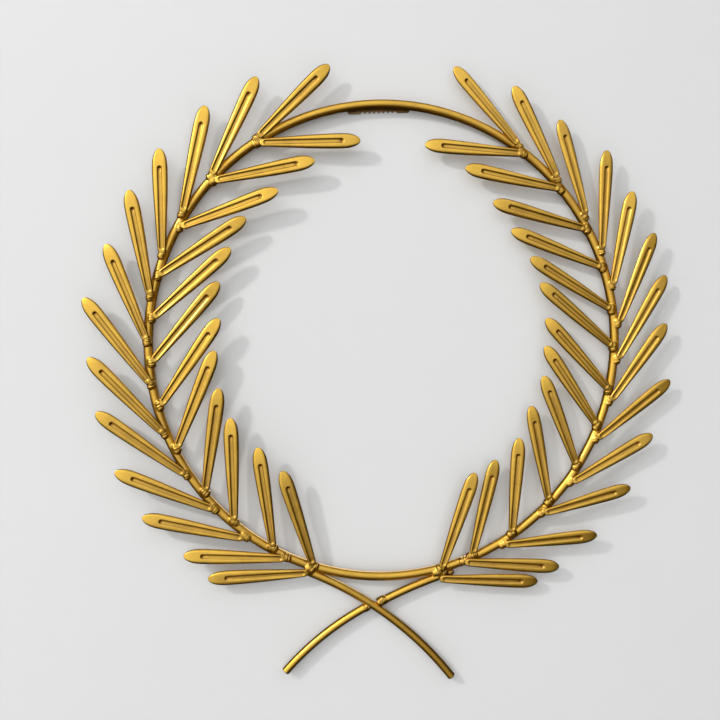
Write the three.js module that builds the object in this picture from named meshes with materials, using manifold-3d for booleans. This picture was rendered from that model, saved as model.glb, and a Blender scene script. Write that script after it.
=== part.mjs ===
// Metal wall wreath: a round rod ring, two crossed tails, 52 stamped leaves and a sawtooth hanger.
// Millimetres. +X is to the right as the wreath is seen on its wall, +Z is up and the front faces -Y.
// The origin is on the hanger's back face, on the wreath's middle line, so the wall is the plane y = 0.

import * as THREE from 'three';
import { mergeVertices } from 'three/addons/utils/BufferGeometryUtils.js';
import Module from 'manifold-3d';

const wasm = await Module();
wasm.setup();

// Welded pieces stand this far apart.
const GAP = 0.3;

// The ring is a 9 mm rod, bent to a full circle.
const RING_RADIUS = 235;
const ROD_RADIUS = 4.5;
const RING_STEPS = 80;
const ROD_SIDES = 10;

// The tails are 8 mm rod. They lie on the same table as the ring, so all backs are level.
const TAIL_RADIUS = 4;
const TAIL_SIDES = 10;
const TAIL_LEVEL = TAIL_RADIUS - ROD_RADIUS;

// Ends of the tails from the ring's centre, as [right, up], and the radius that each is bent to.
// The tails curve down: the front one to the right, the back one, in two lengths, to the left.
const FRONT_TAIL = { start: [-84.5, -226.5], end: [65, -343], bend: 375, turn: 1, steps: 12 };
const BACK_TAIL_UPPER = { start: [56, -236], end: [-6.5, -260], bend: 450, turn: -1, steps: 4 };
const BACK_TAIL_LOWER = { start: [-25, -266.5], end: [-105.5, -328], bend: 270, turn: -1, steps: 8 };

// The hanger is a sawtooth strip, welded on slightly askew behind the top of the ring.
const HANGER_LENGTH = 62;
const HANGER_HEIGHT = 12;
const HANGER_THICKNESS = 1.2;
const HANGER_CORNER = 2.5;
const HANGER_OFFSET = -11;
const HANGER_TILT_DEG = 3.5;
const TOOTH_COUNT = 8;
const TOOTH_PITCH = 4.6;
const TOOTH_DEPTH = 2.2;
const HANGER_ABOVE_RING_CENTRE = 232.8;

// Every leaf is the same kind of stamping in 1.1 mm sheet: two raised lobes with a flat-floored groove
// between, and places along it are from its tip or its root end.
const LEAF_THICKNESS = 1.1;
const LEAF_WIDTH = 15.5;
const LEAF_ROOT_WIDTH = 8.8;
const LEAF_END_WIDTH = 5;
const TIP_WIDTH = 3.6;
const SHOULDER_FROM_TIP = 2.8;
const SHOULDER_WIDTH = 8.2;
const CHEEK_FROM_TIP = 8.5;
const CHEEK_WIDTH = 12.8;
const GROOVE_FROM_TIP = 16;
const GROOVE_RIM_WIDTH = 15.2;
const GROOVE_RUN_IN = 3;
const WIDEST_FROM_TIP = 30;
const GROOVE_END_FROM_ROOT = 3.6;
const FLOOR_HALF_WIDTH = 1.3;
const LOBE_HEIGHT = 2.2;
const ROOT_LOBE_HEIGHT = 1.7;
const GROOVE_DEPTH = 1.7;
const TIP_LIFT = 0.5;
const SHOULDER_LIFT = 1;
const CHEEK_LIFT = 1.7;
const CREST_SHARE = 0.45;

// Leaves of each spray, from the top of the ring down. Each is [clock angle down its side of the ring,
// lean away from the rod's run, length], in degrees and mm. The roots sit off the rod's centreline
// by the spray's own offset, and a fourth value moves one leaf's root further out.
// Pitch lifts the tips off the wall.
const SPRAYS = {
  left_outer: {
    side: -1, outward: 1, offset: 2, pitch: 2,
    leaves: [
      [33, 12.5, 97], [47, 18, 102], [58, 19.5, 103], [68.5, 22, 97.5], [78.5, 21.5, 99.5],
      [89, 22.5, 97.5, -1], [99, 27.5, 101, -1], [111, 22, 100], [122, 21, 103], [132.5, 24, 100],
      [142.5, 23.5, 99.5, 2], [153.5, 22.5, 98.5, -1], [160, 21, 98, 4.5],
    ],
  },
  left_inner: {
    side: -1, outward: -1, offset: -3.5, pitch: 3,
    leaves: [
      [33.5, 31, 97], [47.5, 35.5, 97.5], [61, 40, 98.5], [73.5, 40, 99, 2], [83.5, 41.5, 98.5, -0.8],
      [94, 44, 99], [104.5, 48.5, 100, -0.8], [115.5, 47, 101], [128, 46, 102], [138, 46.5, 101.5],
      [149.5, 51.5, 101], [160.5, 53, 101.5, 1.5],
    ],
  },
  right_outer: {
    side: 1, outward: 1, offset: 2.5, pitch: 1,
    leaves: [
      [33, 15, 99, -1], [45.5, 16.5, 100], [57, 16, 98.5, 1], [66.5, 25, 100], [75.5, 25, 96],
      [85, 26, 98, 1], [94, 26.5, 99.5], [104.5, 22, 98], [114.5, 28.5, 98], [127, 24, 97.5],
      [137.5, 27.5, 94.5, -1], [150, 26, 97.5], [161, 24, 100, -2.5], [168, 16, 103.5, 6.5],
    ],
  },
  right_inner: {
    side: 1, outward: -1, offset: -3.7, pitch: 1,
    leaves: [
      [35, 31.5, 99.5], [48, 37.5, 100.5, 1], [60, 46, 101.5], [70.5, 50, 102.5], [81.5, 51, 101.5],
      [91, 52, 102], [102, 55, 100, 1.5], [111.5, 56, 99], [123, 55, 100], [134.5, 56, 100, -0.5],
      [147, 53.5, 98], [158.5, 54.5, 99, -0.6], [167, 58.5, 103, 2.5],
    ],
  },
};
const PITCH_SPREAD_DEG = 1.6;
const ROLL_SPREAD_DEG = 6;
const VARIATION_SEED = 52;

// Weld beads: one past each leaf's root, on the rod, and larger ones at the tails.
const BEAD_LENGTH = 9.4;
const BEAD_WIDTH = 8.2;
const BEAD_CENTRE_DEPTH = 1.6;
const BEAD_RISE = 3.1;
const BEAD_PAST_ROOT = 5;
const BEAD_NEIGHBOUR_REACH = 50;
const BEAD_GAP = 0.35;
const TAIL_BEAD_SIZE = [12, 9, 9.4];
const CROSSING_BEAD_SIZE = [9.6, 8.6, 9.6];

const gold = (roughness) => new THREE.MeshStandardMaterial({ color: 0xc9992f, roughness, metalness: 0.85 });
const leafFinish = gold(0.38);
const rodFinish = gold(0.34);
const hangerFinish = gold(0.55);

const radians = THREE.MathUtils.degToRad;

// A closed geometry as a manifold solid, and back.
function toSolid(geometry) {
  const bare = geometry.clone();
  bare.deleteAttribute('normal');
  bare.deleteAttribute('uv');
  const merged = mergeVertices(bare, 1e-4);
  return new wasm.Manifold(new wasm.Mesh({
    numProp: 3,
    vertProperties: new Float32Array(merged.attributes.position.array),
    triVerts: new Uint32Array(merged.index.array),
  }));
}

function toGeometry(solid) {
  const mesh = solid.getMesh();
  const geometry = new THREE.BufferGeometry();
  geometry.setAttribute('position', new THREE.BufferAttribute(mesh.vertProperties, 3));
  geometry.setIndex(new THREE.BufferAttribute(mesh.triVerts, 1));
  geometry.computeVertexNormals();
  return geometry;
}

// The run of a bent rod in the wreath's plane: an arc of a given radius between two points.
// A turn of 1 curves to the right of the way the rod runs, as seen from the front, and -1 to the left.
class RodArc extends THREE.Curve {
  constructor({ start, end, bend, turn }, level) {
    super();
    const chord = Math.hypot(end[0] - start[0], end[1] - start[1]);
    const along = [(end[0] - start[0]) / chord, (end[1] - start[1]) / chord];
    const drop = Math.sqrt(bend ** 2 - (chord / 2) ** 2) * turn;
    this.centre = [(start[0] + end[0]) / 2 + along[1] * drop, (start[1] + end[1]) / 2 - along[0] * drop];
    this.bend = bend;
    this.level = level;
    this.from = Math.atan2(start[1] - this.centre[1], start[0] - this.centre[0]);
    this.sweep = -turn * 2 * Math.asin(chord / 2 / bend);
  }

  getPoint(t, target = new THREE.Vector3()) {
    const angle = this.from + this.sweep * t;
    return target.set(
      this.centre[0] + this.bend * Math.cos(angle),
      -this.level,
      this.centre[1] + this.bend * Math.sin(angle),
    );
  }
}

function rodAlong(arc, radius, steps) {
  const section = new THREE.Shape().absarc(0, 0, radius, 0, 2 * Math.PI);
  return new THREE.ExtrudeGeometry(section, {
    steps, extrudePath: arc, curveSegments: TAIL_SIDES, bevelEnabled: false,
  });
}

function ringRod(radius) {
  return new THREE.TorusGeometry(RING_RADIUS, radius, ROD_SIDES, RING_STEPS).rotateX(Math.PI / 2);
}

const frontArc = new RodArc(FRONT_TAIL, TAIL_LEVEL);
const backUpperArc = new RodArc(BACK_TAIL_UPPER, TAIL_LEVEL);
const backLowerArc = new RodArc(BACK_TAIL_LOWER, TAIL_LEVEL);

// How far forward a rod's surface, with the welding gap, reaches at a place in the wreath's plane.
// It is the circle of the rod's section at that place's distance from the rod's centreline.
function rodFront(fromCentreline, radius, level) {
  const reach = radius + GAP;
  if (Math.abs(fromCentreline) >= reach) return -Infinity;
  return level + Math.sqrt(reach ** 2 - fromCentreline ** 2);
}

function frontOfRods(x, z) {
  let front = rodFront(Math.hypot(x, z) - RING_RADIUS, ROD_RADIUS, 0);
  for (const arc of [frontArc, backUpperArc]) {
    const across = [x - arc.centre[0], z - arc.centre[1]];
    const turned = (Math.atan2(across[1], across[0]) - arc.from) / arc.sweep;
    if (turned < 0 || turned > 1) continue;
    front = Math.max(front, rodFront(Math.hypot(...across) - arc.bend, TAIL_RADIUS, arc.level));
  }
  return front;
}

// Stations along a leaf from its root end: place, half width, lobe height and groove floor height.
function leafStations(length) {
  const groove = (lobe) => lobe - GROOVE_DEPTH;
  const stations = [
    [0, LEAF_END_WIDTH, ROOT_LOBE_HEIGHT - TIP_LIFT, ROOT_LOBE_HEIGHT - TIP_LIFT],
    [GROOVE_END_FROM_ROOT, LEAF_ROOT_WIDTH, ROOT_LOBE_HEIGHT, groove(ROOT_LOBE_HEIGHT)],
    [length - WIDEST_FROM_TIP, LEAF_WIDTH, LOBE_HEIGHT, groove(LOBE_HEIGHT)],
    [length - GROOVE_FROM_TIP - GROOVE_RUN_IN, LEAF_WIDTH, LOBE_HEIGHT, groove(LOBE_HEIGHT)],
    [length - GROOVE_FROM_TIP, GROOVE_RIM_WIDTH, LOBE_HEIGHT, LOBE_HEIGHT],
    [length - CHEEK_FROM_TIP, CHEEK_WIDTH, CHEEK_LIFT, CHEEK_LIFT],
    [length - SHOULDER_FROM_TIP, SHOULDER_WIDTH, SHOULDER_LIFT, SHOULDER_LIFT],
    [length, TIP_WIDTH, TIP_LIFT, TIP_LIFT],
  ];
  return stations.map(([place, width, lobe, floor]) => ({ place, half: width / 2, lobe, floor }));
}

// A leaf's section at a station, from edge to edge, as [across, height of the upper face].
function leafSection({ half, lobe, floor }) {
  const floorHalf = Math.min(FLOOR_HALF_WIDTH, half * CREST_SHARE);
  const crest = floorHalf + (half - floorHalf) * CREST_SHARE;
  const right = [[floorHalf, floor], [crest, lobe], [half, 0]];
  const left = right.map(([across, height]) => [-across, height]).reverse();
  return [...left, ...right];
}

// The leaf lies along +X from its root end, with its front up, along +Z. Each face is a grid of
// stations by section points, and both faces are split the same way. Grow swells the leaf on all sides,
// and twice as far underneath, because the lobes' steep sides move out with the edge.
function leafGeometry(length, grow = 0) {
  const stations = leafStations(length);
  const columns = leafSection(stations[0]).length;
  const positions = [];
  for (const face of [grow, -LEAF_THICKNESS - 2 * grow]) {
    stations.forEach((station, row) => {
      const end = row === 0 ? -grow : row === stations.length - 1 ? grow : 0;
      const grown = { ...station, half: station.half + grow };
      for (const [across, height] of leafSection(grown)) {
        positions.push(station.place + end, across, height + face);
      }
    });
  }
  const indices = [];
  const quad = (a, b, c, d) => indices.push(a, b, c, a, c, d);
  const top = (row, column) => row * columns + column;
  const under = (row, column) => (stations.length + row) * columns + column;
  for (let row = 0; row < stations.length - 1; row += 1) {
    for (let column = 0; column < columns - 1; column += 1) {
      quad(top(row, column), top(row + 1, column), top(row + 1, column + 1), top(row, column + 1));
      indices.push(under(row, column), under(row + 1, column + 1), under(row + 1, column));
      indices.push(under(row, column), under(row, column + 1), under(row + 1, column + 1));
    }
    quad(top(row, 0), under(row, 0), under(row + 1, 0), top(row + 1, 0));
    const last = columns - 1;
    quad(top(row, last), top(row + 1, last), under(row + 1, last), under(row, last));
  }
  const tip = stations.length - 1;
  for (let column = 0; column < columns - 1; column += 1) {
    quad(top(0, column), top(0, column + 1), under(0, column + 1), under(0, column));
    quad(top(tip, column), under(tip, column), under(tip, column + 1), top(tip, column + 1));
  }
  const geometry = new THREE.BufferGeometry();
  geometry.setAttribute('position', new THREE.Float32BufferAttribute(positions, 3));
  geometry.setIndex(indices);
  geometry.computeVertexNormals();
  return geometry;
}

// Underside points of a leaf near its root, close enough together to find where it meets a rod.
const ROOT_REACH = 24;
const ROOT_STEP = 1;

function rootUnderside(length) {
  const stations = leafStations(length);
  const points = [];
  for (let place = 0; place <= ROOT_REACH; place += ROOT_STEP) {
    const next = stations.findIndex((station) => station.place > place);
    const [a, b] = [stations[next - 1], stations[next]];
    const share = (place - a.place) / (b.place - a.place);
    const sectionA = leafSection(a);
    const sectionB = leafSection(b);
    sectionA.forEach(([across, height], column) => {
      points.push(new THREE.Vector3(
        place,
        THREE.MathUtils.lerp(across, sectionB[column][0], share),
        THREE.MathUtils.lerp(height, sectionB[column][1], share) - LEAF_THICKNESS,
      ));
    });
  }
  return points;
}

// A seeded run of numbers from -1 to 1, for the small hand-made differences in pitch and roll.
function seededSpread(seed) {
  let state = seed;
  return () => {
    state = (state * 1664525 + 1013904223) % 4294967296;
    return (state / 4294967296) * 2 - 1;
  };
}

// A leaf's heading is its clock angle. Its front turns to -Y, and its length to the heading.
// It is pitched and rolled, and then laid down on the rods until it is the welding gap off them.
function placeLeaf(spray, [clock, lean, length, outset = 0], pitchDeg, rollDeg) {
  const angle = radians(clock) * spray.side;
  const heading = angle - spray.side * (Math.PI / 2 - spray.outward * radians(lean));
  const rootRadius = RING_RADIUS + spray.offset + outset;
  const root = new THREE.Vector3(Math.sin(angle) * rootRadius, 0, Math.cos(angle) * rootRadius);
  const along = new THREE.Vector3(Math.sin(heading), 0, Math.cos(heading));
  const front = new THREE.Vector3(0, -1, 0);
  const turn = new THREE.Matrix4().makeBasis(along, front.clone().cross(along), front);
  turn.multiply(new THREE.Matrix4().makeRotationY(-radians(pitchDeg)));
  turn.multiply(new THREE.Matrix4().makeRotationX(radians(rollDeg)));
  let lift = -Infinity;
  for (const point of rootUnderside(length)) {
    point.applyMatrix4(turn).add(root);
    lift = Math.max(lift, frontOfRods(point.x, point.z) + point.y);
  }
  root.y = -lift;
  return { matrix: turn.setPosition(root), angle, along, root, length };
}

// A weld bead: a low lump with the given length, width and thickness, turned to run along the rod.
function bead([length, width, thickness], x, y, z, run) {
  const lump = new THREE.SphereGeometry(0.5, 6, 4);
  lump.scale(length, thickness, width);
  lump.rotateY(-run);
  lump.translate(x, y, z);
  return toSolid(lump);
}

const placedLeaves = [];
const spread = seededSpread(VARIATION_SEED);
for (const [sprayName, spray] of Object.entries(SPRAYS)) {
  spray.leaves.forEach((leaf, index) => {
    const pitch = spray.pitch + spread() * PITCH_SPREAD_DEG;
    const roll = spread() * ROLL_SPREAD_DEG;
    const placed = placeLeaf(spray, leaf, pitch, roll);
    const number = String(index + 1).padStart(2, '0');
    placedLeaves.push({ ...placed, name: `leaf_${sprayName}_${number}` });
  });
}

// Beads are cut clear of the leaves that they run up to.
function clearOfLeaves(lump, x, z) {
  let left = lump;
  for (const leaf of placedLeaves) {
    if (Math.hypot(leaf.root.x - x, leaf.root.z - z) > BEAD_NEIGHBOUR_REACH) continue;
    left = left.subtract(toSolid(leafGeometry(leaf.length, BEAD_GAP).applyMatrix4(leaf.matrix)));
  }
  return left;
}

function leafBead({ angle, along, root }) {
  const past = [root.x - along.x * BEAD_PAST_ROOT, root.z - along.z * BEAD_PAST_ROOT];
  const offCentre = Math.hypot(...past) - RING_RADIUS;
  const pull = THREE.MathUtils.clamp(offCentre, -1, 1) - offCentre;
  const scale = 1 + pull / Math.hypot(...past);
  const [x, z] = [past[0] * scale, past[1] * scale];
  const size = [BEAD_LENGTH, BEAD_WIDTH, 2 * (BEAD_CENTRE_DEPTH + BEAD_RISE)];
  const depth = -(ROD_RADIUS - BEAD_CENTRE_DEPTH);
  return clearOfLeaves(bead(size, x, depth, z, -angle), x, z);
}

const grownRing = toSolid(ringRod(ROD_RADIUS + GAP));
const grownFrontTail = toSolid(rodAlong(frontArc, TAIL_RADIUS + GAP, FRONT_TAIL.steps));

// The bead between the ring and a tail's first end, and the bead where a back tail's end meets the
// front tail. Both reach a little past the rod's end.
function tailBead(arc, t, size, ahead, towardsRing) {
  const point = arc.getPoint(t);
  const tangent = arc.getTangent(t);
  const run = Math.atan2(tangent.z, tangent.x);
  const inward = towardsRing / Math.hypot(point.x, point.z);
  const x = point.x * (1 - inward) + tangent.x * ahead;
  const z = point.z * (1 - inward) + tangent.z * ahead;
  return clearOfLeaves(bead(size, x, point.y, z, run), x, z);
}

// A solid without the loose slivers that a cut can leave.
function largestBody(solid) {
  return solid.decompose().sort((a, b) => b.volume() - a.volume())[0];
}

const ringSolid = largestBody(wasm.Manifold.union([
  toSolid(ringRod(ROD_RADIUS)),
  ...placedLeaves.map((leaf) => leafBead(leaf)),
]));

const frontTailSolid = toSolid(rodAlong(frontArc, TAIL_RADIUS, FRONT_TAIL.steps))
  .add(tailBead(frontArc, 0, TAIL_BEAD_SIZE, 1, 3))
  .subtract(ringSolid.add(grownRing));

const backUpperSolid = toSolid(rodAlong(backUpperArc, TAIL_RADIUS, BACK_TAIL_UPPER.steps))
  .add(tailBead(backUpperArc, 0, TAIL_BEAD_SIZE, 1, 3))
  .add(tailBead(backUpperArc, 1, CROSSING_BEAD_SIZE, 1, 0))
  .subtract(ringSolid.add(grownRing))
  .subtract(grownFrontTail);

const backLowerSolid = toSolid(rodAlong(backLowerArc, TAIL_RADIUS, BACK_TAIL_LOWER.steps))
  .add(tailBead(backLowerArc, 0, CROSSING_BEAD_SIZE, -1, 0))
  .subtract(grownFrontTail);

// The strip with plain rounded ends and a row of teeth cut up into its lower edge.
function hangerOutline() {
  const halfLength = HANGER_LENGTH / 2;
  const halfHeight = HANGER_HEIGHT / 2;
  const corner = HANGER_CORNER;
  const teethStart = (-TOOTH_COUNT * TOOTH_PITCH) / 2;
  const outline = new THREE.Shape();
  outline.moveTo(-halfLength + corner, -halfHeight);
  for (let tooth = 0; tooth < TOOTH_COUNT; tooth += 1) {
    const from = teethStart + tooth * TOOTH_PITCH;
    outline.lineTo(from, -halfHeight);
    outline.lineTo(from + TOOTH_PITCH / 2, -halfHeight + TOOTH_DEPTH);
  }
  outline.lineTo(-teethStart, -halfHeight);
  outline.lineTo(halfLength - corner, -halfHeight);
  outline.absarc(halfLength - corner, -halfHeight + corner, corner, -Math.PI / 2, 0);
  outline.absarc(halfLength - corner, halfHeight - corner, corner, 0, Math.PI / 2);
  outline.absarc(-halfLength + corner, halfHeight - corner, corner, Math.PI / 2, Math.PI);
  outline.absarc(-halfLength + corner, -halfHeight + corner, corner, Math.PI, 1.5 * Math.PI);
  return outline;
}

const wreath = new THREE.Group();
wreath.name = 'metal_wall_wreath';

const welded = new THREE.Group();
welded.position.set(0, -(HANGER_THICKNESS + GAP + ROD_RADIUS), -HANGER_ABOVE_RING_CENTRE);
wreath.add(welded);

function addPiece(name, geometry, material) {
  const mesh = new THREE.Mesh(geometry, material);
  mesh.name = name;
  welded.add(mesh);
  return mesh;
}

addPiece('ring_rod', toGeometry(ringSolid), rodFinish);
addPiece('tail_front', toGeometry(largestBody(frontTailSolid)), rodFinish);
addPiece('tail_back_upper', toGeometry(largestBody(backUpperSolid)), rodFinish);
addPiece('tail_back_lower', toGeometry(largestBody(backLowerSolid)), rodFinish);

for (const leaf of placedLeaves) {
  addPiece(leaf.name, leafGeometry(leaf.length), leafFinish).applyMatrix4(leaf.matrix);
}

const strip = new THREE.ExtrudeGeometry(hangerOutline(), {
  depth: HANGER_THICKNESS, curveSegments: 3, bevelEnabled: false,
}).rotateX(Math.PI / 2);
const hanger = new THREE.Mesh(strip, hangerFinish);
hanger.name = 'hanger';
hanger.position.set(HANGER_OFFSET, 0, 0);
hanger.rotation.set(0, -radians(HANGER_TILT_DEG), 0);
wreath.add(hanger);

export default wreath;
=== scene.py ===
"""A metal wall wreath: a bent rod ring with 52 leaves, two crossed tails and a sawtooth hanger.

Lengths are worked out in millimetres in the CAD frame, with the wall at y = 0 and the front towards
-Y, and put into the meshes in metres.
"""

import math

import bmesh
import bpy
import mathutils
import numpy as np
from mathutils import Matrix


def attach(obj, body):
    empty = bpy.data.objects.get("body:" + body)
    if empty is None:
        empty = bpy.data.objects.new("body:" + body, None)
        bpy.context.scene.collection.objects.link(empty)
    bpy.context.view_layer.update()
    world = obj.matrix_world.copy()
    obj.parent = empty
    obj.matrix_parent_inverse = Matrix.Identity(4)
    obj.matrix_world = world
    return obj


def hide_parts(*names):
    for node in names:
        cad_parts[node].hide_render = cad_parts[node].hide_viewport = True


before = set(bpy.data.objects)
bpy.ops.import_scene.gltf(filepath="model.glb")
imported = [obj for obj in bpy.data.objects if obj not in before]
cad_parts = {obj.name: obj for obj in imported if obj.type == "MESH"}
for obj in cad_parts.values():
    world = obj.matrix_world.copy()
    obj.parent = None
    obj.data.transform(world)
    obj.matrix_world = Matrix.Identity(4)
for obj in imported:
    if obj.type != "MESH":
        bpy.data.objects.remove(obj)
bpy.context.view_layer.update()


# The leaves. Each is one stamping in 1.1 mm sheet steel, with a narrow slot pressed into its smooth
# crown, and all 52 come off the same die. A leaf lies on the rods by its narrow root end and is
# welded there, and the leaves run down both sides of the ring in four sprays.
MM_IN_METRE = 1000.0
LEAF_SHEET = 1.1
LEAF_EDGE_ROUNDING = 0.3
LEAF_HALF_WIDTH = 7.9
LEAF_ROOT_HALF_WIDTH = 3.8
TAPER_FROM_ROOT = 3.0
TAPER_FROM_TIP = 27.0
TAPER_PAST_WIDEST = 0.2
NOSE_SIZE, NOSE_POWER = 2.45, 0.46
ROOT_SIZE, ROOT_POWER = 2.7, 0.5
WIDTHS_BLEND_POWER = 7.0
CROWN_HEIGHT = 2.25
CROWN_POWER = 8.0
CROWN_NOSE_RISE = 5.5
CROWN_ROOT_FALL = 6.0
CROWN_ROOT_LOSS = 0.6
SLOT_FROM_ROOT = 3.0
SLOT_FROM_TIP = 15.6
SLOT_HALF_WIDTH = 2.8
SLOT_FLOOR_HALF_WIDTH = 0.9
SLOT_DEPTH = 1.1
RIM_MOST_OF_WIDTH = 0.68
HOLE_HALF_WIDTH = 1.9
HOLE_DEPTH = 0.7
# Painted shade: the paint darkens at the leaf's edges, in its slot and dimple, and on its back.
PAINTED_EDGE_SHADE, PAINTED_EDGE_SHADE_WIDTH = 0.48, 0.65
PAINTED_SLOT_SHADE, PAINTED_SLOT_WALL_SHADE, PAINTED_HOLE_SHADE = 0.3, 0.3, 0.7
PAINTED_BACK_SHADE_SHARE = 0.6
# The brown is the colour of the painted shade, and the darker end of the paint's mottling.
LEAF_GOLD, LEAF_SHADE_AND_MOTTLE_BROWN = (0.84, 0.51, 0.055, 1), (0.13, 0.03, 0.001, 1)
LEAF_ROUGHNESS, LEAF_GRAIN = 0.34, 0.8
SOLID_END_REACH = 1.0
WIDE_PART = 0.9


def solid_points(node):
    """The separate corner points of a CAD solid, in millimetres."""
    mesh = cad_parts[node].data
    places = np.empty(len(mesh.vertices) * 3, np.float32)
    mesh.vertices.foreach_get("co", places)
    return np.unique(np.round(places.astype(float).reshape(-1, 3) * MM_IN_METRE, 4), axis=0)


def leaf_lie(node):
    """How a leaf lies, read off its CAD solid: its root point, directions along, across and front.

    The solid's longest axis finds the flat end faces. An end's points lie in a plane square to the
    leaf's length and are widest across it, so their three main axes are across, front and along.
    The root end is the one further from the leaf's widest part. The root point is one sheet's
    thickness in front of that end's lowest point, level with the edges of the leaf's front face.
    """
    points = solid_points(node)
    middle = points.mean(0)
    long_axis, wide_axis, _ = np.linalg.svd(points - middle, full_matrices=False)[2]
    places = (points - middle) @ long_axis
    widths = np.abs((points - middle) @ wide_axis)
    if places[widths > WIDE_PART * widths.max()].mean() < 0:
        places = -places
    root_end = points[places < places.min() + SOLID_END_REACH]
    tip_end = points[places > places.max() - SOLID_END_REACH]
    root_middle, tip_middle = root_end.mean(0), tip_end.mean(0)
    across, front, along = np.linalg.svd(root_end - root_middle, full_matrices=False)[2]
    along = along * np.sign((tip_middle - root_middle) @ along)
    front = front * np.sign(-front[1])
    across = np.cross(front, along)
    lowest = ((root_end - root_middle) @ front).min()
    return {
        "root": root_middle + front * (lowest + LEAF_SHEET), "along": along, "across": across,
        "front": front, "length": (tip_middle - root_middle) @ along,
    }


def leaf_half_width(place, length):
    """The soft least of a straight taper, a straight middle, and the arcs of the nose and the root.

    Each arc grows with a power of the distance from its end, which starts a little above nothing so
    that the end isn't closed to a point. The soft least of several widths is the sum of their
    inverse powers, turned back.
    """
    taper_share = (place - TAPER_FROM_ROOT) / (length - TAPER_FROM_TIP - TAPER_FROM_ROOT)
    widening = LEAF_HALF_WIDTH + TAPER_PAST_WIDEST - LEAF_ROOT_HALF_WIDTH
    widths = np.stack([
        LEAF_ROOT_HALF_WIDTH + widening * taper_share,
        np.full_like(place, LEAF_HALF_WIDTH),
        NOSE_SIZE * (length - place + 0.01) ** NOSE_POWER,
        ROOT_SIZE * (place + 0.05) ** ROOT_POWER,
    ])
    return (widths ** -WIDTHS_BLEND_POWER).sum(0) ** (-1 / WIDTHS_BLEND_POWER)


def smooth_step(value, low, high):
    """0 below low and 1 above high, and between them the cubic with level ends."""
    share = np.clip((value - low) / (high - low), 0, 1)
    return share * share * (3 - 2 * share)


def leaf_skin(length):
    """A leaf's skin in its own millimetres, as closed sections from the root end to the tip.

    The crown falls from the middle to the edge with a high power of the share of the half width,
    so that it is nearly flat. It rises from the tip by a fading exponential and is lower at the
    root by another. The slot has round ends, sloping walls and a flat floor, as a smooth step of
    the distance from its middle line, and a deeper dimple at its tip end is a smooth step of the
    distance from that end. The back follows the front one sheet's thickness behind, with every
    other column, and the edges between are rounded.

    The painted shade value goes with the skin, and darkens the paint where shade falls on the leaf.
    It fades in from the edges by an exponential, and it is high in the slot, higher on its walls,
    where the step is halfway, and highest in the dimple. It is full on the rounded sides of the
    sheet, and the back has a share of the front's.
    """
    # Sections are closest at the tip, at the slot's ends and at the root.
    from_tip = np.concatenate([
        2.5 * np.linspace(0, 1, 9) ** 2, np.linspace(3.2, 13.2, 13), np.linspace(13.6, 19, 16),
        np.linspace(21, length - 7.2, 28), length - np.linspace(6.6, 1, 12),
        length - 0.8 * np.linspace(0.8, 0, 5) ** 2,
    ])
    place = length - from_tip
    half = (leaf_half_width(place, length) - LEAF_EDGE_ROUNDING)[:, None]
    edge = half + LEAF_EDGE_ROUNDING
    # Columns are shares of the slot's half width, and then of the way from its rim to the edge.
    in_slot = np.array([0, 0.22, 0.36, 0.48, 0.6, 0.72, 0.84, 0.94, 1.04])
    on_lobe = np.array([0.16, 0.36, 0.55, 0.72, 0.86, 0.95, 1])
    rim = np.minimum(SLOT_HALF_WIDTH, half * RIM_MOST_OF_WIDTH)
    past_rim = rim * in_slot[-1]
    across = np.hstack([rim * in_slot, past_rim + (half - past_rim) * on_lobe])
    across = np.hstack([-across[:, :0:-1], across])
    crown = CROWN_HEIGHT * (1 - np.exp(-(from_tip + 1) / CROWN_NOSE_RISE))
    crown = (crown * (1 - CROWN_ROOT_LOSS * np.exp(-place / CROWN_ROOT_FALL)))[:, None]
    shape = crown * (1 - np.abs(across / edge) ** CROWN_POWER)
    slot_from = SLOT_FROM_ROOT + SLOT_HALF_WIDTH
    slot_to = length - SLOT_FROM_TIP - SLOT_HALF_WIDTH
    beyond = np.maximum(np.maximum(slot_from - place, place - slot_to), 0)[:, None]
    slot = 1 - smooth_step(np.hypot(across, beyond), SLOT_FLOOR_HALF_WIDTH, SLOT_HALF_WIDTH)
    off_hole = np.hypot(across, (place - slot_to)[:, None])
    hole = 1 - smooth_step(off_hole, 0, HOLE_HALF_WIDTH)
    top = shape - SLOT_DEPTH * slot - HOLE_DEPTH * hole
    behind = np.arange(across.shape[1])[::-2]
    outline = np.hstack([across, edge, edge, across[:, behind], -edge, -edge])
    front_edge = shape[:, :1] - LEAF_EDGE_ROUNDING
    back_edge = shape[:, :1] - LEAF_SHEET + LEAF_EDGE_ROUNDING
    height = np.hstack([
        top, front_edge, back_edge, top[:, behind] - LEAF_SHEET, back_edge, front_edge,
    ])
    # Painted shade: darker near the edges, in the slot, on its walls and in the dimple.
    near_edge = np.exp(-(edge - np.abs(across)) / PAINTED_EDGE_SHADE_WIDTH)
    on_wall = 4 * slot * (1 - slot)
    painted_shade = PAINTED_EDGE_SHADE * near_edge + PAINTED_SLOT_SHADE * slot + PAINTED_SLOT_WALL_SHADE * on_wall
    painted_shade = np.clip(painted_shade + PAINTED_HOLE_SHADE * hole, 0, 1)
    # Painted shade: full on the rounded sides of the sheet, and a share of the front's on the back.
    side = np.ones((len(place), 2))
    painted_shade = np.hstack([painted_shade, side, painted_shade[:, behind] * PAINTED_BACK_SHADE_SHARE, side])
    run = np.broadcast_to(place[:, None], outline.shape)
    return np.stack([run, outline, height], axis=2), painted_shade


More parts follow.
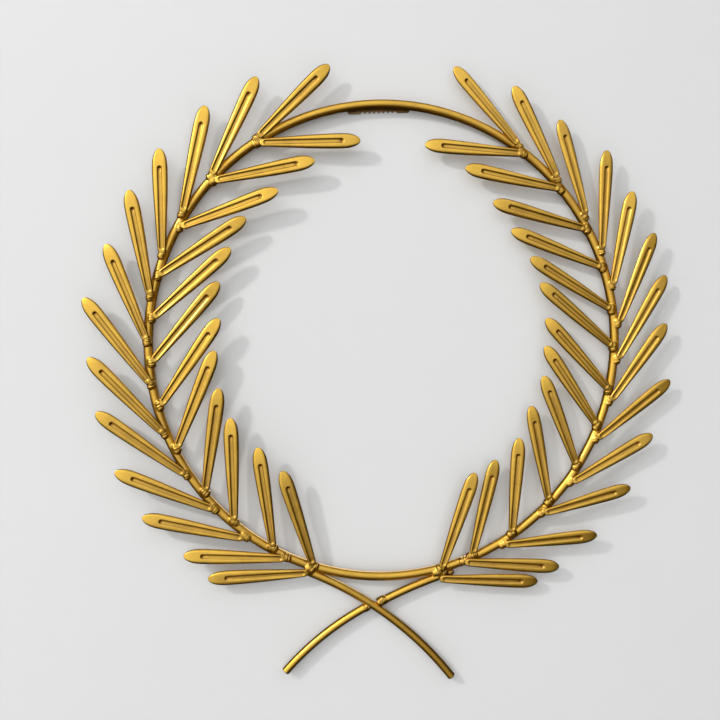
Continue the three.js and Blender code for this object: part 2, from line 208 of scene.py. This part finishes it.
def add_skins(name, skins, painted_shades, replaced, closed_run=False):
    """One piece from closed skins. A skin is an array [section, point, xyz] in millimetres.

    Neighbouring sections are joined by four-sided faces, and a section's last point joins its
    first. Each end of a skin is closed by triangles to the middle of its end section, but a closed
    run's last section joins its first one. The painted shade values, which darken the paint where
    shade falls, become an attribute of the points.
    """
    vertices, values, quads, triangles, base = [], [], [], [], 0
    for skin, painted_shade in zip(skins, painted_shades):
        sections, points = skin.shape[:2]
        number = base + np.arange(sections * points).reshape(sections, points)
        if closed_run:
            number = np.vstack([number, number[:1]])
        following = np.roll(number, -1, axis=1)
        corners = [number[:-1], following[:-1], following[1:], number[1:]]
        quads.append(np.stack(corners, axis=2).reshape(-1, 4))
        vertices.append(skin.reshape(-1, 3))
        values.append(painted_shade.reshape(-1))
        base += sections * points
        if not closed_run:
            vertices.append(np.stack([skin[0].mean(0), skin[-1].mean(0)]))
            values.append(np.zeros(2))
            first, last = number[0], number[-1]
            first_end, last_end = np.full(points, base), np.full(points, base + 1)
            triangles.append(np.stack([np.roll(first, -1), first, first_end], axis=1))
            triangles.append(np.stack([last, np.roll(last, -1), last_end], axis=1))
            base += 2
    vertices = np.concatenate(vertices) / MM_IN_METRE
    quads = np.concatenate(quads)
    triangles = np.concatenate(triangles) if triangles else np.empty((0, 3), int)
    corners = np.concatenate([quads.ravel(), triangles.ravel()]).astype(np.int32)
    starts = np.concatenate([
        np.arange(len(quads)) * 4, len(quads) * 4 + np.arange(len(triangles)) * 3,
    ]).astype(np.int32)
    mesh = bpy.data.meshes.new(name)
    mesh.vertices.add(len(vertices))
    mesh.vertices.foreach_set("co", vertices.astype(np.float32).ravel())
    mesh.loops.add(len(corners))
    mesh.loops.foreach_set("vertex_index", corners)
    mesh.polygons.add(len(starts))
    mesh.polygons.foreach_set("loop_start", starts)
    mesh.update(calc_edges=True)
    # The painted shade is kept as an attribute, which the paint reads to darken its colour.
    stored = mesh.attributes.new("painted_shade", "FLOAT", "POINT")
    stored.data.foreach_set("value", np.concatenate(values).astype(np.float32))
    mesh.shade_smooth()
    piece = bpy.data.objects.new(name, mesh)
    bpy.context.scene.collection.objects.link(piece)
    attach(piece, "root")
    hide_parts(*replaced)
    return piece


class Socket:
    """A shader socket whose arithmetic adds Math nodes, and whose node() adds any other node."""

    def __init__(self, tree, link=None):
        self.tree = tree
        self.link = link

    def node(self, kind, settings=None, inputs=None, output=0):
        """Adds a node of a type, sets its settings first and then its sockets' values or links."""
        made = self.tree.nodes.new(kind)
        for key, value in (settings or {}).items():
            setattr(made, key, value)
        for key, value in (inputs or {}).items():
            if isinstance(value, Socket):
                self.tree.links.new(value.link, made.inputs[key])
            else:
                made.inputs[key].default_value = value
        return Socket(self.tree, made.outputs[output] if len(made.outputs) else None)

    def maths(self, operation, *values):
        return self.node("ShaderNodeMath", {"operation": operation}, dict(enumerate(values)))

    def __add__(self, other):
        return self.maths("ADD", self, other)

    def __sub__(self, other):
        return self.maths("SUBTRACT", self, other)

    def __rsub__(self, other):
        return self.maths("SUBTRACT", other, self)

    def __mul__(self, other):
        return self.maths("MULTIPLY", self, other)

    __radd__ = __add__
    __rmul__ = __mul__

    def clipped(self, low, high):
        """This value's share of the way from low to high, eased and kept between 0 and 1."""
        return self.node("ShaderNodeMapRange", {"interpolation_type": "SMOOTHSTEP"}, {
            "Value": self, "From Min": low, "From Max": high, "To Min": 0.0, "To Max": 1.0,
        })

    def mixed(self, first, second):
        """The mix of two colours by this value."""
        return self.node("ShaderNodeMix", {"data_type": "RGBA"}, {0: self, 6: first, 7: second}, 2)


CLOUDS_SCALE, FINE_SCALE, GRAINS_SCALE = 55.0, 420.0, 1500.0
# How much the painted shade, the clouds and the grains darken the paint.
PAINTED_SHADE_WEIGHT, CLOUDS_POOL, GRAINS_POOL = 0.8, 0.15, 0.12
CLOUDS_ROUGHEN, GRAINS_ROUGHEN = 0.12, 0.1
GRAIN_STRENGTH, GRAIN_HEIGHT = 0.5, 0.0002
CLEAR_COAT, CLEAR_COAT_ROUGHNESS = 0.8, 0.25


def gold_paint(name, light, deep, roughness, grain):
    """Satin gold paint under a clear coat, with its depth of colour, roughness and grain.

    The colour goes from light to deep by a sum: most of the painted shade value, which stands in
    for the shade at edges, in hollows and round the rods, some of the clouds, about 20 mm across,
    and some of the grains, under 1 mm across, which are the paint's own mottling. The grains and a
    coarser noise of twice their height dimple the surface.
    """
    material = bpy.data.materials.new(name)
    material.use_nodes = True
    tree = material.node_tree
    tree.nodes.clear()
    start = Socket(tree)
    place = start.node("ShaderNodeTexCoord", output="Object")
    painted_shade = start.node("ShaderNodeAttribute", {"attribute_name": "painted_shade"}, output="Fac")
    clouds = start.node("ShaderNodeTexNoise", None, {
        "Vector": place, "Scale": CLOUDS_SCALE, "Detail": 3.0,
    })
    grains = start.node("ShaderNodeTexNoise", None, {
        "Vector": place, "Scale": GRAINS_SCALE, "Detail": 3.0, "Roughness": 0.6,
    })
    fine = start.node("ShaderNodeTexNoise", None, {
        "Vector": place, "Scale": FINE_SCALE, "Detail": 2.0,
    })
    # Painted shade from the attribute, and the paint's own mottling, darken the colour.
    shade_and_mottle = painted_shade * PAINTED_SHADE_WEIGHT + clouds.clipped(0.35, 0.75) * CLOUDS_POOL
    shade_and_mottle = shade_and_mottle + grains.clipped(0.3, 0.8) * GRAINS_POOL
    bump = start.node("ShaderNodeBump", None, {
        "Strength": GRAIN_STRENGTH, "Distance": GRAIN_HEIGHT,
        "Height": grains * grain + fine * (2 * grain),
    })
    shader = start.node("ShaderNodeBsdfPrincipled", None, {
        "Base Color": shade_and_mottle.mixed(light, deep), "Metallic": 1.0,
        "Roughness": roughness + CLOUDS_ROUGHEN * clouds + GRAINS_ROUGHEN * (grains - 0.5),
        "Coat Weight": CLEAR_COAT, "Coat Roughness": CLEAR_COAT_ROUGHNESS, "Normal": bump,
    })
    start.node("ShaderNodeOutputMaterial", None, {"Surface": shader})
    return material


leaf_paint = gold_paint("leaf_paint", LEAF_GOLD, LEAF_SHADE_AND_MOTTLE_BROWN, LEAF_ROUGHNESS, LEAF_GRAIN)
sprays = {
    spray: sorted(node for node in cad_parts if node.startswith(f"leaf_{spray}_"))
    for spray in ("left_outer", "left_inner", "right_outer", "right_inner")
}
leaf_lies = {node: leaf_lie(node) for nodes in sprays.values() for node in nodes}
for spray, nodes in sprays.items():
    skins, painted_shades = [], []
    for node in nodes:
        lie = leaf_lies[node]
        skin, painted_shade = leaf_skin(lie["length"])
        directions = np.stack([lie["along"], lie["across"], lie["front"]])
        skins.append(skin @ directions + lie["root"])
        painted_shades.append(painted_shade)
    leaves = add_skins(f"leaves_{spray}", skins, painted_shades, nodes)
    leaves.data.materials.append(leaf_paint)


# The ring. It is one 9 mm steel rod bent to a full circle. A lump of weld, about as wide as the
# rod, sits on its front over each leaf's root, with a rough crust, and is painted over with the
# rest. The rod's sides and back and the crust's hollows are coloured darker, as painted shade.
RING_CENTRE = np.array([0.0, -6.0, -232.8])
RING_RADIUS = 235.0
RING_ROD = 4.5
RING_SECTIONS = 2200
POINTS_ROUND_ROD = 34
WELD_PAST_ROOT = 0.5
WELD_HALF_LENGTH = 6.0
WELD_SIZE, WELD_SIZE_SPREAD = 4.3, (0.94, 1.04)
WELD_OUT_FRONT = 2.4
WELD_OUT_MOST = 2.6
WELD_END_POWER, WELD_ROUND_POWER = 3.5, 0.45
WELD_BLEND = 0.3
WELD_FOOT = 1.2
WELD_CROWDING = 3.0
CRUST_WAVES = 7
CRUST_TURNS, CRUST_RATES = (-6, 7), (0.8, 4.2)
CRUST_HEIGHT = 1.0
# Painted shade: in the crust's hollows, on welds given as dark, and round the rod's sides and back.
CRUST_SHADE = 2.5
WELD_SHADE_MOST = 0.8
PAINTED_SIDE_SHADE, SIDE_STARTS, SIDE_ENDS = 0.5, -0.6, 0.2
ROD_GOLD, ROD_SHADE_AND_MOTTLE_BROWN = (0.78, 0.46, 0.045, 1), (0.10, 0.023, 0.001, 1)
ROD_ROUGHNESS, ROD_GRAIN = 0.33, 0.7
weld_random = np.random.default_rng(52)


def rod_skin(centre, bend, start, sweep, rod, welds, stations):
    """The skin of a rod bent to an arc in the wreath's plane, with lumps of weld grown out of it.

    A section is a circle about the rod's centreline. A weld's own section is a circle too, set
    off the centreline and shrinking to nothing at its ends, and the distance to its skin is where
    a ray from the centreline leaves that circle. The crust on it is a mean of sines, each with a
    random slant, phase and height. The skin is the soft most of the two distances, so that the
    weld runs out into the rod, and plain rod where the weld is well inside it.

    A weld is given by its place along the rod, how far out and to the front it is set, its half
    length, its size, and how dark it is in painted shade, darker where it sits behind another rod.
    The painted shade value is that darkness less the crust's height, so that the crust's hollows
    are darker, and on the rod it grows from the front round to the sides and back.
    """
    place, rod_at = stations
    around = np.linspace(0, 2 * np.pi, POINTS_ROUND_ROD, endpoint=False)
    sideways, forwards = np.cos(around), np.sin(around)
    reach = np.broadcast_to(rod_at[:, None], (len(place), len(around))).copy()
    painted_shade = np.zeros_like(reach)
    length = abs(sweep) * bend
    full_circle = math.isclose(abs(sweep), 2 * math.pi)
    for weld_place, weld_out, weld_front, half_length, size, dark in welds:
        off = place - weld_place
        if full_circle:
            off = (off + length / 2) % length - length / 2
        near = np.abs(off) < half_length
        if not near.any():
            continue
        off = off[near, None]
        circle = size * (1 - np.abs(off / half_length) ** WELD_END_POWER) ** WELD_ROUND_POWER
        angle_off = around - math.atan2(weld_front, weld_out)
        set_off = math.hypot(weld_out, weld_front)
        inside = np.maximum(circle ** 2 - (set_off * np.sin(angle_off)) ** 2, 0)
        outer = np.where(inside > 0, set_off * np.cos(angle_off) + np.sqrt(inside), 0)
        crust = np.zeros_like(outer)
        for _ in range(CRUST_WAVES):
            phase, tilt = weld_random.uniform(0, 2 * np.pi, 2)
            turns, rate = weld_random.integers(*CRUST_TURNS), weld_random.uniform(*CRUST_RATES)
            crust += np.sin(off * rate + turns * around + phase) * np.sin(tilt) / CRUST_WAVES
        outer = np.maximum(outer + CRUST_HEIGHT * crust, 0)
        rod_here = reach[near]
        soft = (rod_here + outer + np.sqrt((rod_here - outer) ** 2 + WELD_BLEND ** 2)) / 2
        reach[near] = np.where(outer > rod_here - WELD_FOOT, soft, rod_here)
        on_weld = np.clip(outer - rod_here + 1, 0, 1)
        # Painted shade on the weld: its given darkness, deeper in the crust's hollows.
        weld_shade = on_weld * np.clip(dark - CRUST_SHADE * crust, 0, WELD_SHADE_MOST)
        painted_shade[near] = np.maximum(painted_shade[near], weld_shade)
    # Painted shade round the rod's sides and back.
    on_side = smooth_step(-forwards, SIDE_STARTS, SIDE_ENDS)
    painted_shade = np.maximum(painted_shade, PAINTED_SIDE_SHADE * on_side)
    angle = start + place / bend * np.sign(sweep)
    out = np.stack([np.cos(angle), np.zeros_like(angle), np.sin(angle)], axis=1)
    off_centreline = (sideways[:, None] * out[:, None]
                      + forwards[:, None] * np.array([0.0, -1.0, 0.0]))
    skin = (centre + bend * out)[:, None] + reach[..., None] * off_centreline
    return (skin, painted_shade) if sweep < 0 else (skin[:, ::-1], painted_shade[:, ::-1])


def weld_over_root(lie, centre, bend, start, sweep):
    """The weld over a leaf's root: how far along the rod it is, how far off it, and its size.

    Its place along the rod is the bend radius times the angle turned, and its place off the rod
    is its distance from the bend's centre less that radius.
    """
    point = lie["root"] - lie["along"] * WELD_PAST_ROOT - centre
    out = math.hypot(point[0], point[2]) - bend
    turned = (math.atan2(point[2], point[0]) - start) * np.sign(sweep) % (2 * np.pi)
    size = WELD_SIZE * weld_random.uniform(*WELD_SIZE_SPREAD)
    out = float(np.clip(out, -WELD_OUT_MOST, WELD_OUT_MOST))
    return turned * bend, out, WELD_OUT_FRONT, WELD_HALF_LENGTH, size, 0.0


def closer_at_welds(welds, length, count):
    """Places round a closed rod, spread evenly but several times as close at the welds.

    The running sum of the closeness wanted is the share of all the sections used up to there, and
    it is read backwards at even shares.
    """
    coarse = np.linspace(0, length, 6001)
    nearest = np.min([
        np.abs((coarse - weld[0] + length / 2) % length - length / 2) for weld in welds
    ], axis=0)
    used = np.cumsum(np.where(nearest < WELD_HALF_LENGTH + 1, WELD_CROWDING, 1.0))
    used = (used - used[0]) / (used[-1] - used[0])
    return np.interp(np.linspace(0, 1, count, endpoint=False), used, coarse)


rod_paint = gold_paint("rod_paint", ROD_GOLD, ROD_SHADE_AND_MOTTLE_BROWN, ROD_ROUGHNESS, ROD_GRAIN)
ring_run = (RING_CENTRE, RING_RADIUS, 0.0, -2 * np.pi)
ring_welds = [weld_over_root(lie, *ring_run) for lie in leaf_lies.values()]
ring_places = closer_at_welds(ring_welds, 2 * np.pi * RING_RADIUS, RING_SECTIONS)
ring_stations = ring_places, np.full(RING_SECTIONS, RING_ROD)
ring_skin, ring_shade = rod_skin(*ring_run, RING_ROD, ring_welds, ring_stations)
ring = add_skins("ring", [ring_skin], [ring_shade], ["ring_rod"], closed_run=True)
ring.data.materials.append(rod_paint)


# The tails. They are 8 mm rod, bent gently and cut square. One whole rod passes in front, and the
# other is cut in two lengths that butt against it from behind on each side, with a weld at each
# joint. Both are welded to the ring at the bottom, and weld has run on past the back one's start.
TAIL_ROD = 4.0
TAIL_CENTRE_DEPTH = -5.5
CUT_ROUNDING = 0.8
SECTION_SPACING = 0.7
SECTIONS_BEYOND = 14
NO_ROD = 0.05
# A weld's last value is how dark it is in painted shade: darker behind the ring or the front rod.
TAILS = {
    "tail_front": {
        "start": (-84.5, -226.5), "end": (65, -343), "bend": 375, "turn": 1,
        "welds": [(1.5, 2.5, 0.5, 6.5, 4.9, 0.1)],
        "beyond": (0, 0),
    },
    "tail_back_upper": {
        "start": (56, -236), "end": (-6.5, -260), "bend": 450, "turn": -1,
        "welds": [
            (-5, 0, 0.3, 6.4, 3.3, 1.0), (1.5, 2.5, 0.5, 6.5, 4.9, 0.1),
            (68.8, 0.3, 0.2, 6.4, 4.7, 0.5),
        ],
        "beyond": (10.6, 6),
    },
    "tail_back_lower": {
        "start": (-25, -266.5), "end": (-105.5, -328), "bend": 270, "turn": -1,
        "welds": [(-1.2, -0.4, -0.4, 5.0, 4.2, 0.5)],
        "beyond": (4.5, 0),
    },
}


def tail_run(tail):
    """The arc of a tail through its two ends: its centre, radius, first angle and sweep.

    The ends are given to the right and up from the ring's centre. The arc's centre is square off
    the chord's middle, by the third side of the triangle that it makes with half the chord and the
    radius. The sweep is twice the angle that half the chord fills.
    """
    start, end = np.array(tail["start"], float), np.array(tail["end"], float)
    chord = math.dist(start, end)
    along = (end - start) / chord
    drop = math.sqrt(tail["bend"] ** 2 - (chord / 2) ** 2) * tail["turn"]
    middle = (start + end) / 2 + np.array([along[1], -along[0]]) * drop
    sweep = -tail["turn"] * 2 * math.asin(chord / 2 / tail["bend"])
    first = math.atan2(start[1] - middle[1], start[0] - middle[0])
    centre = np.array([middle[0], TAIL_CENTRE_DEPTH, middle[1] + RING_CENTRE[2]])
    return centre, tail["bend"], first, sweep


def cut_rod(length, rod, beyond):
    """Stations along a rod cut square, and its radius there, with a quarter round on each cut edge.

    Where a weld runs on beyond a cut end, so do the stations, with next to no rod in them.
    """
    turn = np.linspace(0, np.pi / 2, 6)
    edge_place = CUT_ROUNDING * (1 - np.cos(turn))
    edge_radius = rod - CUT_ROUNDING + CUT_ROUNDING * np.sin(turn)
    count = int(length / SECTION_SPACING)
    steps = np.linspace(CUT_ROUNDING, length - CUT_ROUNDING, count)[1:-1]
    place = np.concatenate([
        [0, 0], edge_place, steps, length - edge_place[::-1], [length, length],
    ])
    face = rod * np.array([0.35, 0.7])
    radius = np.concatenate([
        face, edge_radius, np.full(len(steps), rod), edge_radius[::-1], face[::-1],
    ])
    before, after = [
        np.linspace(reach, 0.2, SECTIONS_BEYOND) if reach else np.empty(0) for reach in beyond
    ]
    return (
        np.concatenate([-before, place, length + after[::-1]]),
        np.concatenate([np.full(len(before), NO_ROD), radius, np.full(len(after), NO_ROD)]),
    )


for node, tail in TAILS.items():
    run = tail_run(tail)
    stations = cut_rod(abs(run[3]) * run[1], TAIL_ROD, tail["beyond"])
    tail_skin, tail_shade = rod_skin(*run, TAIL_ROD, tail["welds"], stations)
    piece = add_skins(node + "_rod", [tail_skin], [tail_shade], [node])
    piece.data.materials.append(rod_paint)


# The hanger. It is a punched strip of 1.2 mm steel with a row of teeth in its lower edge, any of
# which can carry the wreath. It is welded, slightly askew, behind the top of the ring, and painted
# with the rest, with its gold coloured much darker as painted shade for the ring's shadow on it.
HANGER_EDGE_ROUNDING = 0.00018
SAME_POINT, SAME_PLANE_ANGLE = 1e-6, 0.02
# Painted shade: the hanger's gold is coloured darker, for the ring's shadow on it.
HANGER_SHADED_GOLD, HANGER_SHADED_BROWN = (0.24, 0.13, 0.03, 1), (0.10, 0.045, 0.01, 1)
HANGER_ROUGHNESS, HANGER_GRAIN = 0.42, 0.8
hanger_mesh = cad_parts["hanger"].data.copy()
hanger = bpy.data.objects.new("sawtooth_hanger", hanger_mesh)
bpy.context.scene.collection.objects.link(hanger)
hanger_mesh.materials.clear()
hanger_mesh.materials.append(
    gold_paint("hanger_paint_in_shade", HANGER_SHADED_GOLD, HANGER_SHADED_BROWN, HANGER_ROUGHNESS, HANGER_GRAIN))
merged = bmesh.new()
merged.from_mesh(hanger_mesh)
bmesh.ops.remove_doubles(merged, verts=merged.verts, dist=SAME_POINT)
bmesh.ops.dissolve_limit(
    merged, angle_limit=SAME_PLANE_ANGLE, verts=merged.verts, edges=merged.edges)
merged.to_mesh(hanger_mesh)
merged.free()
hanger_mesh.attributes.new("painted_shade", "FLOAT", "POINT")
edges = hanger.modifiers.new("worn_edges", "BEVEL")
edges.width, edges.segments, edges.limit_method = HANGER_EDGE_ROUNDING, 2, "ANGLE"
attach(hanger, "root")
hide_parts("hanger")


# The stage: a pale painted wall behind the wreath, a pale floor far below, soft light from the
# upper left, and the camera where the photograph was taken. Neither sheet is seen in reflections.
# The wall casts no shadow and is clear from behind, so that the back of the wreath can be seen lit.
WALL_REACH = 3.0
WALL_TOP = 2.0
FLOOR_REACH = 6.0
FLOOR_LEVEL = -1.6
WALL_COLOUR = (0.74, 0.75, 0.76, 1)
FLOOR_COLOUR = (0.72, 0.72, 0.71, 1)
CLOUD_SHARE = 0.95


def stage_sheet(name, corners, colour, one_sided):
    """A plain four-cornered sheet in pale paint with faint clouding, kept out of reflections.

    It faces the way its corners turn about. A one-sided one is clear from behind.
    """
    mesh = bpy.data.meshes.new(name)
    mesh.from_pydata(corners, [], [(0, 1, 2, 3)])
    sheet = bpy.data.objects.new(name, mesh)
    bpy.context.scene.collection.objects.link(sheet)
    sheet.visible_glossy = False
    material = bpy.data.materials.new(name + "_paint")
    material.use_nodes = True
    tree = material.node_tree
    tree.nodes.clear()
    start = Socket(tree)
    place = start.node("ShaderNodeTexCoord", output="Object")
    clouds = start.node("ShaderNodeTexNoise", None, {"Vector": place, "Scale": 3.0, "Detail": 4.0})
    darker = tuple(CLOUD_SHARE * c for c in colour[:3]) + (1,)
    skin = start.node("ShaderNodeBsdfDiffuse", None, {"Color": clouds.mixed(colour, darker)})
    if one_sided:
        behind = start.node("ShaderNodeNewGeometry", output="Backfacing")
        clear = start.node("ShaderNodeBsdfTransparent")
        skin = start.node("ShaderNodeMixShader", None, {0: behind, 1: skin, 2: clear})
    start.node("ShaderNodeOutputMaterial", None, {"Surface": skin})
    mesh.materials.append(material)
    return sheet


wall = stage_sheet("wall", [
    (-WALL_REACH, 0, FLOOR_LEVEL), (WALL_REACH, 0, FLOOR_LEVEL),
    (WALL_REACH, 0, WALL_TOP), (-WALL_REACH, 0, WALL_TOP),
], WALL_COLOUR, True)
wall.visible_shadow = False
stage_sheet("floor", [
    (-FLOOR_REACH, -FLOOR_REACH, FLOOR_LEVEL), (FLOOR_REACH, -FLOOR_REACH, FLOOR_LEVEL),
    (FLOOR_REACH, FLOOR_REACH, FLOOR_LEVEL), (-FLOOR_REACH, FLOOR_REACH, FLOOR_LEVEL),
], FLOOR_COLOUR, False)

WREATH_MIDDLE = (0.0, 0.0, -0.25)
WARM_WHITE, WHITE = (1.0, 0.98, 0.95), (1.0, 1.0, 1.0)


def soft_light(name, place, size, power, colour):
    """A square area light at a place, turned to shine at the middle of the wreath."""
    lamp = bpy.data.lights.new(name, "AREA")
    lamp.shape, lamp.size, lamp.energy, lamp.color = "SQUARE", size, power, colour
    light = bpy.data.objects.new(name, lamp)
    bpy.context.scene.collection.objects.link(light)
    towards = np.array(WREATH_MIDDLE) - np.array(place)
    light.location = place
    light.rotation_euler = mathutils.Vector(towards).to_track_quat("-Z", "Y").to_euler()


soft_light("window", place=(-3.3, -2.1, 1.95), size=0.28, power=75, colour=WARM_WHITE)
soft_light("ceiling", place=(-1.6, -1.9, 1.3), size=1.6, power=12, colour=WARM_WHITE)
soft_light("behind", place=(0.6, 1.4, 0.5), size=1.2, power=12, colour=WHITE)

# The room around is bright and white towards the window and dim and brown away from it, and its
# light is weaker from the wall's side. The camera sees a plain pale backdrop in its place.
WINDOW_DIRECTION = (-0.55, -0.55, 0.62)
ROOM_DIRECTION = (0.0, -1.0, 0.0)
ROOM_SHARE, WALL_SHARE, LEAST_LIGHT = 0.93, 0.2, 0.02
DIM_BROWN, BRIGHT_WHITE = (0.6, 0.33, 0.11, 1), (0.99, 1.0, 1.0, 1)
BACKDROP_GREY = (0.76, 0.76, 0.76, 1)
world = bpy.data.worlds.new("room")
world.use_nodes = True
world.node_tree.nodes.clear()
sky = Socket(world.node_tree)
direction = sky.node("ShaderNodeTexCoord", output="Generated")
towards_window, towards_room = [
    sky.node("ShaderNodeVectorMath", {"operation": "DOT_PRODUCT"}, {0: direction, 1: way}, "Value")
    for way in (WINDOW_DIRECTION, ROOM_DIRECTION)
]
from_room = towards_room.clipped(low=-0.1, high=0.5) * ROOM_SHARE + WALL_SHARE
room_light = towards_window.clipped(low=-0.2, high=0.65) * from_room + LEAST_LIGHT
room_colour = room_light.clipped(low=0.0, high=0.8).mixed(DIM_BROWN, BRIGHT_WHITE)
seen = sky.node("ShaderNodeLightPath", output="Is Camera Ray")
backdrop = sky.node("ShaderNodeBackground", None, {"Color": BACKDROP_GREY, "Strength": 1.0})
room = sky.node("ShaderNodeBackground", None, {"Color": room_colour, "Strength": room_light})
around_all = sky.node("ShaderNodeMixShader", None, {0: seen, 1: room, 2: backdrop})
sky.node("ShaderNodeOutputWorld", None, {"Surface": around_all})
bpy.context.scene.world = world

CAMERA_EYE = (-0.1400, -0.8215, -0.2056)
CAMERA_AIM = (-0.0302, -0.0060, -0.2490)
CAMERA_LENS, CAMERA_FILM = 41.5, 36.0
camera_data = bpy.data.cameras.new("camera")
camera_data.lens, camera_data.sensor_width = CAMERA_LENS, CAMERA_FILM
camera = bpy.data.objects.new("camera", camera_data)
bpy.context.scene.collection.objects.link(camera)
camera.location = CAMERA_EYE
looks = mathutils.Vector(CAMERA_AIM) - mathutils.Vector(CAMERA_EYE)
camera.rotation_euler = looks.to_track_quat("-Z", "Y").to_euler()
bpy.context.scene.camera = camera
bpy.context.scene.view_settings.view_transform = "Standard"
